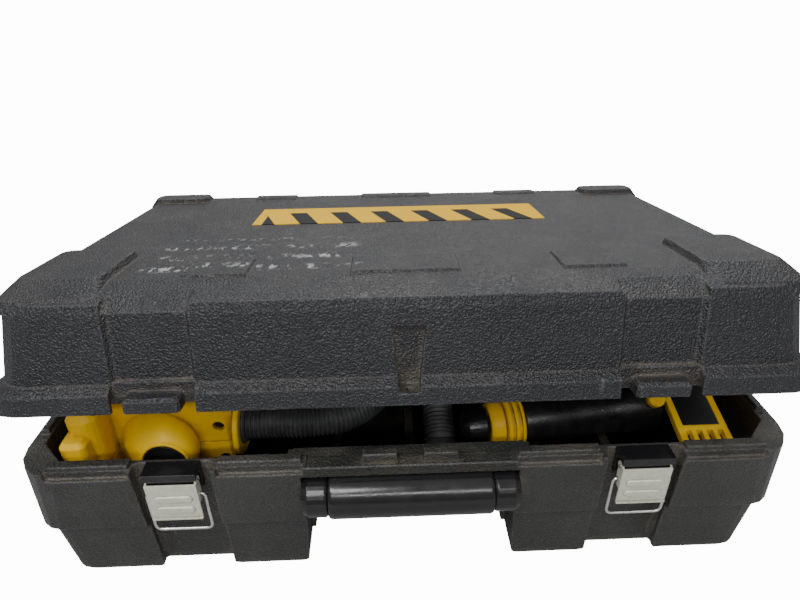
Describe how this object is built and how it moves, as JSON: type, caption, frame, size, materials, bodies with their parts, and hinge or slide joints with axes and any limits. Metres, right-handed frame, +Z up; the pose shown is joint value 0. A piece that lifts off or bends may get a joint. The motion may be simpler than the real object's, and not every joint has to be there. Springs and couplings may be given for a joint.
{
  "type": "rotary tool with flex shaft in carrying case",
  "caption": "Hinged moulded carrying case, lid ajar, holding a rotary tool, its flexible shaft and the drive head; latches hook the lid shut.",
  "frame": {"origin": "centre of the flat base, on the surface it rests on", "axes": "+X along the case's width, to the right as seen from the latches; +Y from the latches to the hinge; +Z up"},
  "size_m": [0.6, 0.4004, 0.2545],
  "materials": {
    "case_black": "pebbled, dusty",
    "gloss_black": "glossy",
    "tool_yellow": "satin",
    "label_black": "smooth",
    "hose_grey": "ribbed",
    "zinc": "worn zinc plate",
    "bright_steel": "bright"
  },
  "bodies": {
    "case": {"lower_shell": "case_black", "handle_grip": "gloss_black", "handle_cap_left": "gloss_black", "handle_cap_right": "gloss_black", "latch_pin_left": "bright_steel", "latch_pin_right": "bright_steel", "hinge_pin_left": "bright_steel", "hinge_pin_right": "bright_steel", "head_housing_upper": "tool_yellow", "head_housing_lower": "tool_yellow", "head_screw_upper": "bright_steel", "head_screw_lower": "bright_steel", "head_end_cap": "tool_yellow", "head_label_disc": "label_black", "head_collar": "tool_yellow", "hose_ferrule_head": "hose_grey", "tool_nose": "tool_yellow", "tool_barrel": "gloss_black", "tool_motor_housing": "gloss_black", "tool_label_plate": "label_black", "flex_shaft": "hose_grey", "latch_mount_left": "gloss_black", "latch_mount_right": "gloss_black", "tool_top_cover": "tool_yellow", "hose_ferrule_tool": "hose_grey"},
    "lid": {"lid_shell": "case_black", "lid_band": "tool_yellow"},
    "lever_left": {"latch_lever_left": "zinc"},
    "lever_right": {"latch_lever_right": "zinc"},
    "bail_left": {"latch_bail_left": "bright_steel"},
    "bail_right": {"latch_bail_right": "bright_steel"},
    "spindle_head": {"head_spindle": "bright_steel"},
    "spindle_tool": {"tool_spindle": "bright_steel", "tool_chuck": "gloss_black"},
    "collar": {"tool_collar": "tool_yellow"},
    "dial": {"tool_dial": "tool_yellow"}
  },
  "joints": [
    {"name": "lid_hinge", "type": "hinge", "parent": "case", "child": "lid", "pos_m": [0, 0.192, 0.12], "axis": [-1, 0, 0], "range_deg": [-8.15, 95]},
    {"name": "latch_left_lever", "type": "hinge", "parent": "case", "child": "lever_left", "pos_m": [-0.1785, -0.1845, 0.11], "axis": [-1, 0, 0], "range_deg": [0, 75]},
    {"name": "latch_right_lever", "type": "hinge", "parent": "case", "child": "lever_right", "pos_m": [0.1785, -0.1845, 0.11], "axis": [-1, 0, 0], "range_deg": [0, 75]},
    {"name": "latch_left_bail", "type": "hinge", "parent": "lever_left", "child": "bail_left", "pos_m": [-0.1785, -0.1845, 0.097], "axis": [1, 0, 0], "range_deg": [-180, 0]},
    {"name": "latch_right_bail", "type": "hinge", "parent": "lever_right", "child": "bail_right", "pos_m": [0.1785, -0.1845, 0.097], "axis": [1, 0, 0], "range_deg": [-180, 0]},
    {"name": "tool_spindle_spin", "type": "hinge", "parent": "case", "child": "spindle_tool", "pos_m": [0.062, -0.115, 0.092], "axis": [0.9903, 0.1392, 0], "continuous": true},
    {"name": "head_spindle_spin", "type": "hinge", "parent": "case", "child": "spindle_head", "pos_m": [-0.149, -0.102, 0.092], "axis": [1, 0, 0], "continuous": true},
    {"name": "tool_collar_turn", "type": "hinge", "parent": "case", "child": "collar", "pos_m": [0.062, -0.115, 0.092], "axis": [0.9903, 0.1392, 0], "range_deg": [0, 90]},
    {"name": "tool_dial_turn", "type": "hinge", "parent": "case", "child": "dial", "pos_m": [0.21648, -0.10939, 0.11033], "axis": [0, -0.66, 0.7513], "range_deg": [0, 270]}
  ]
}
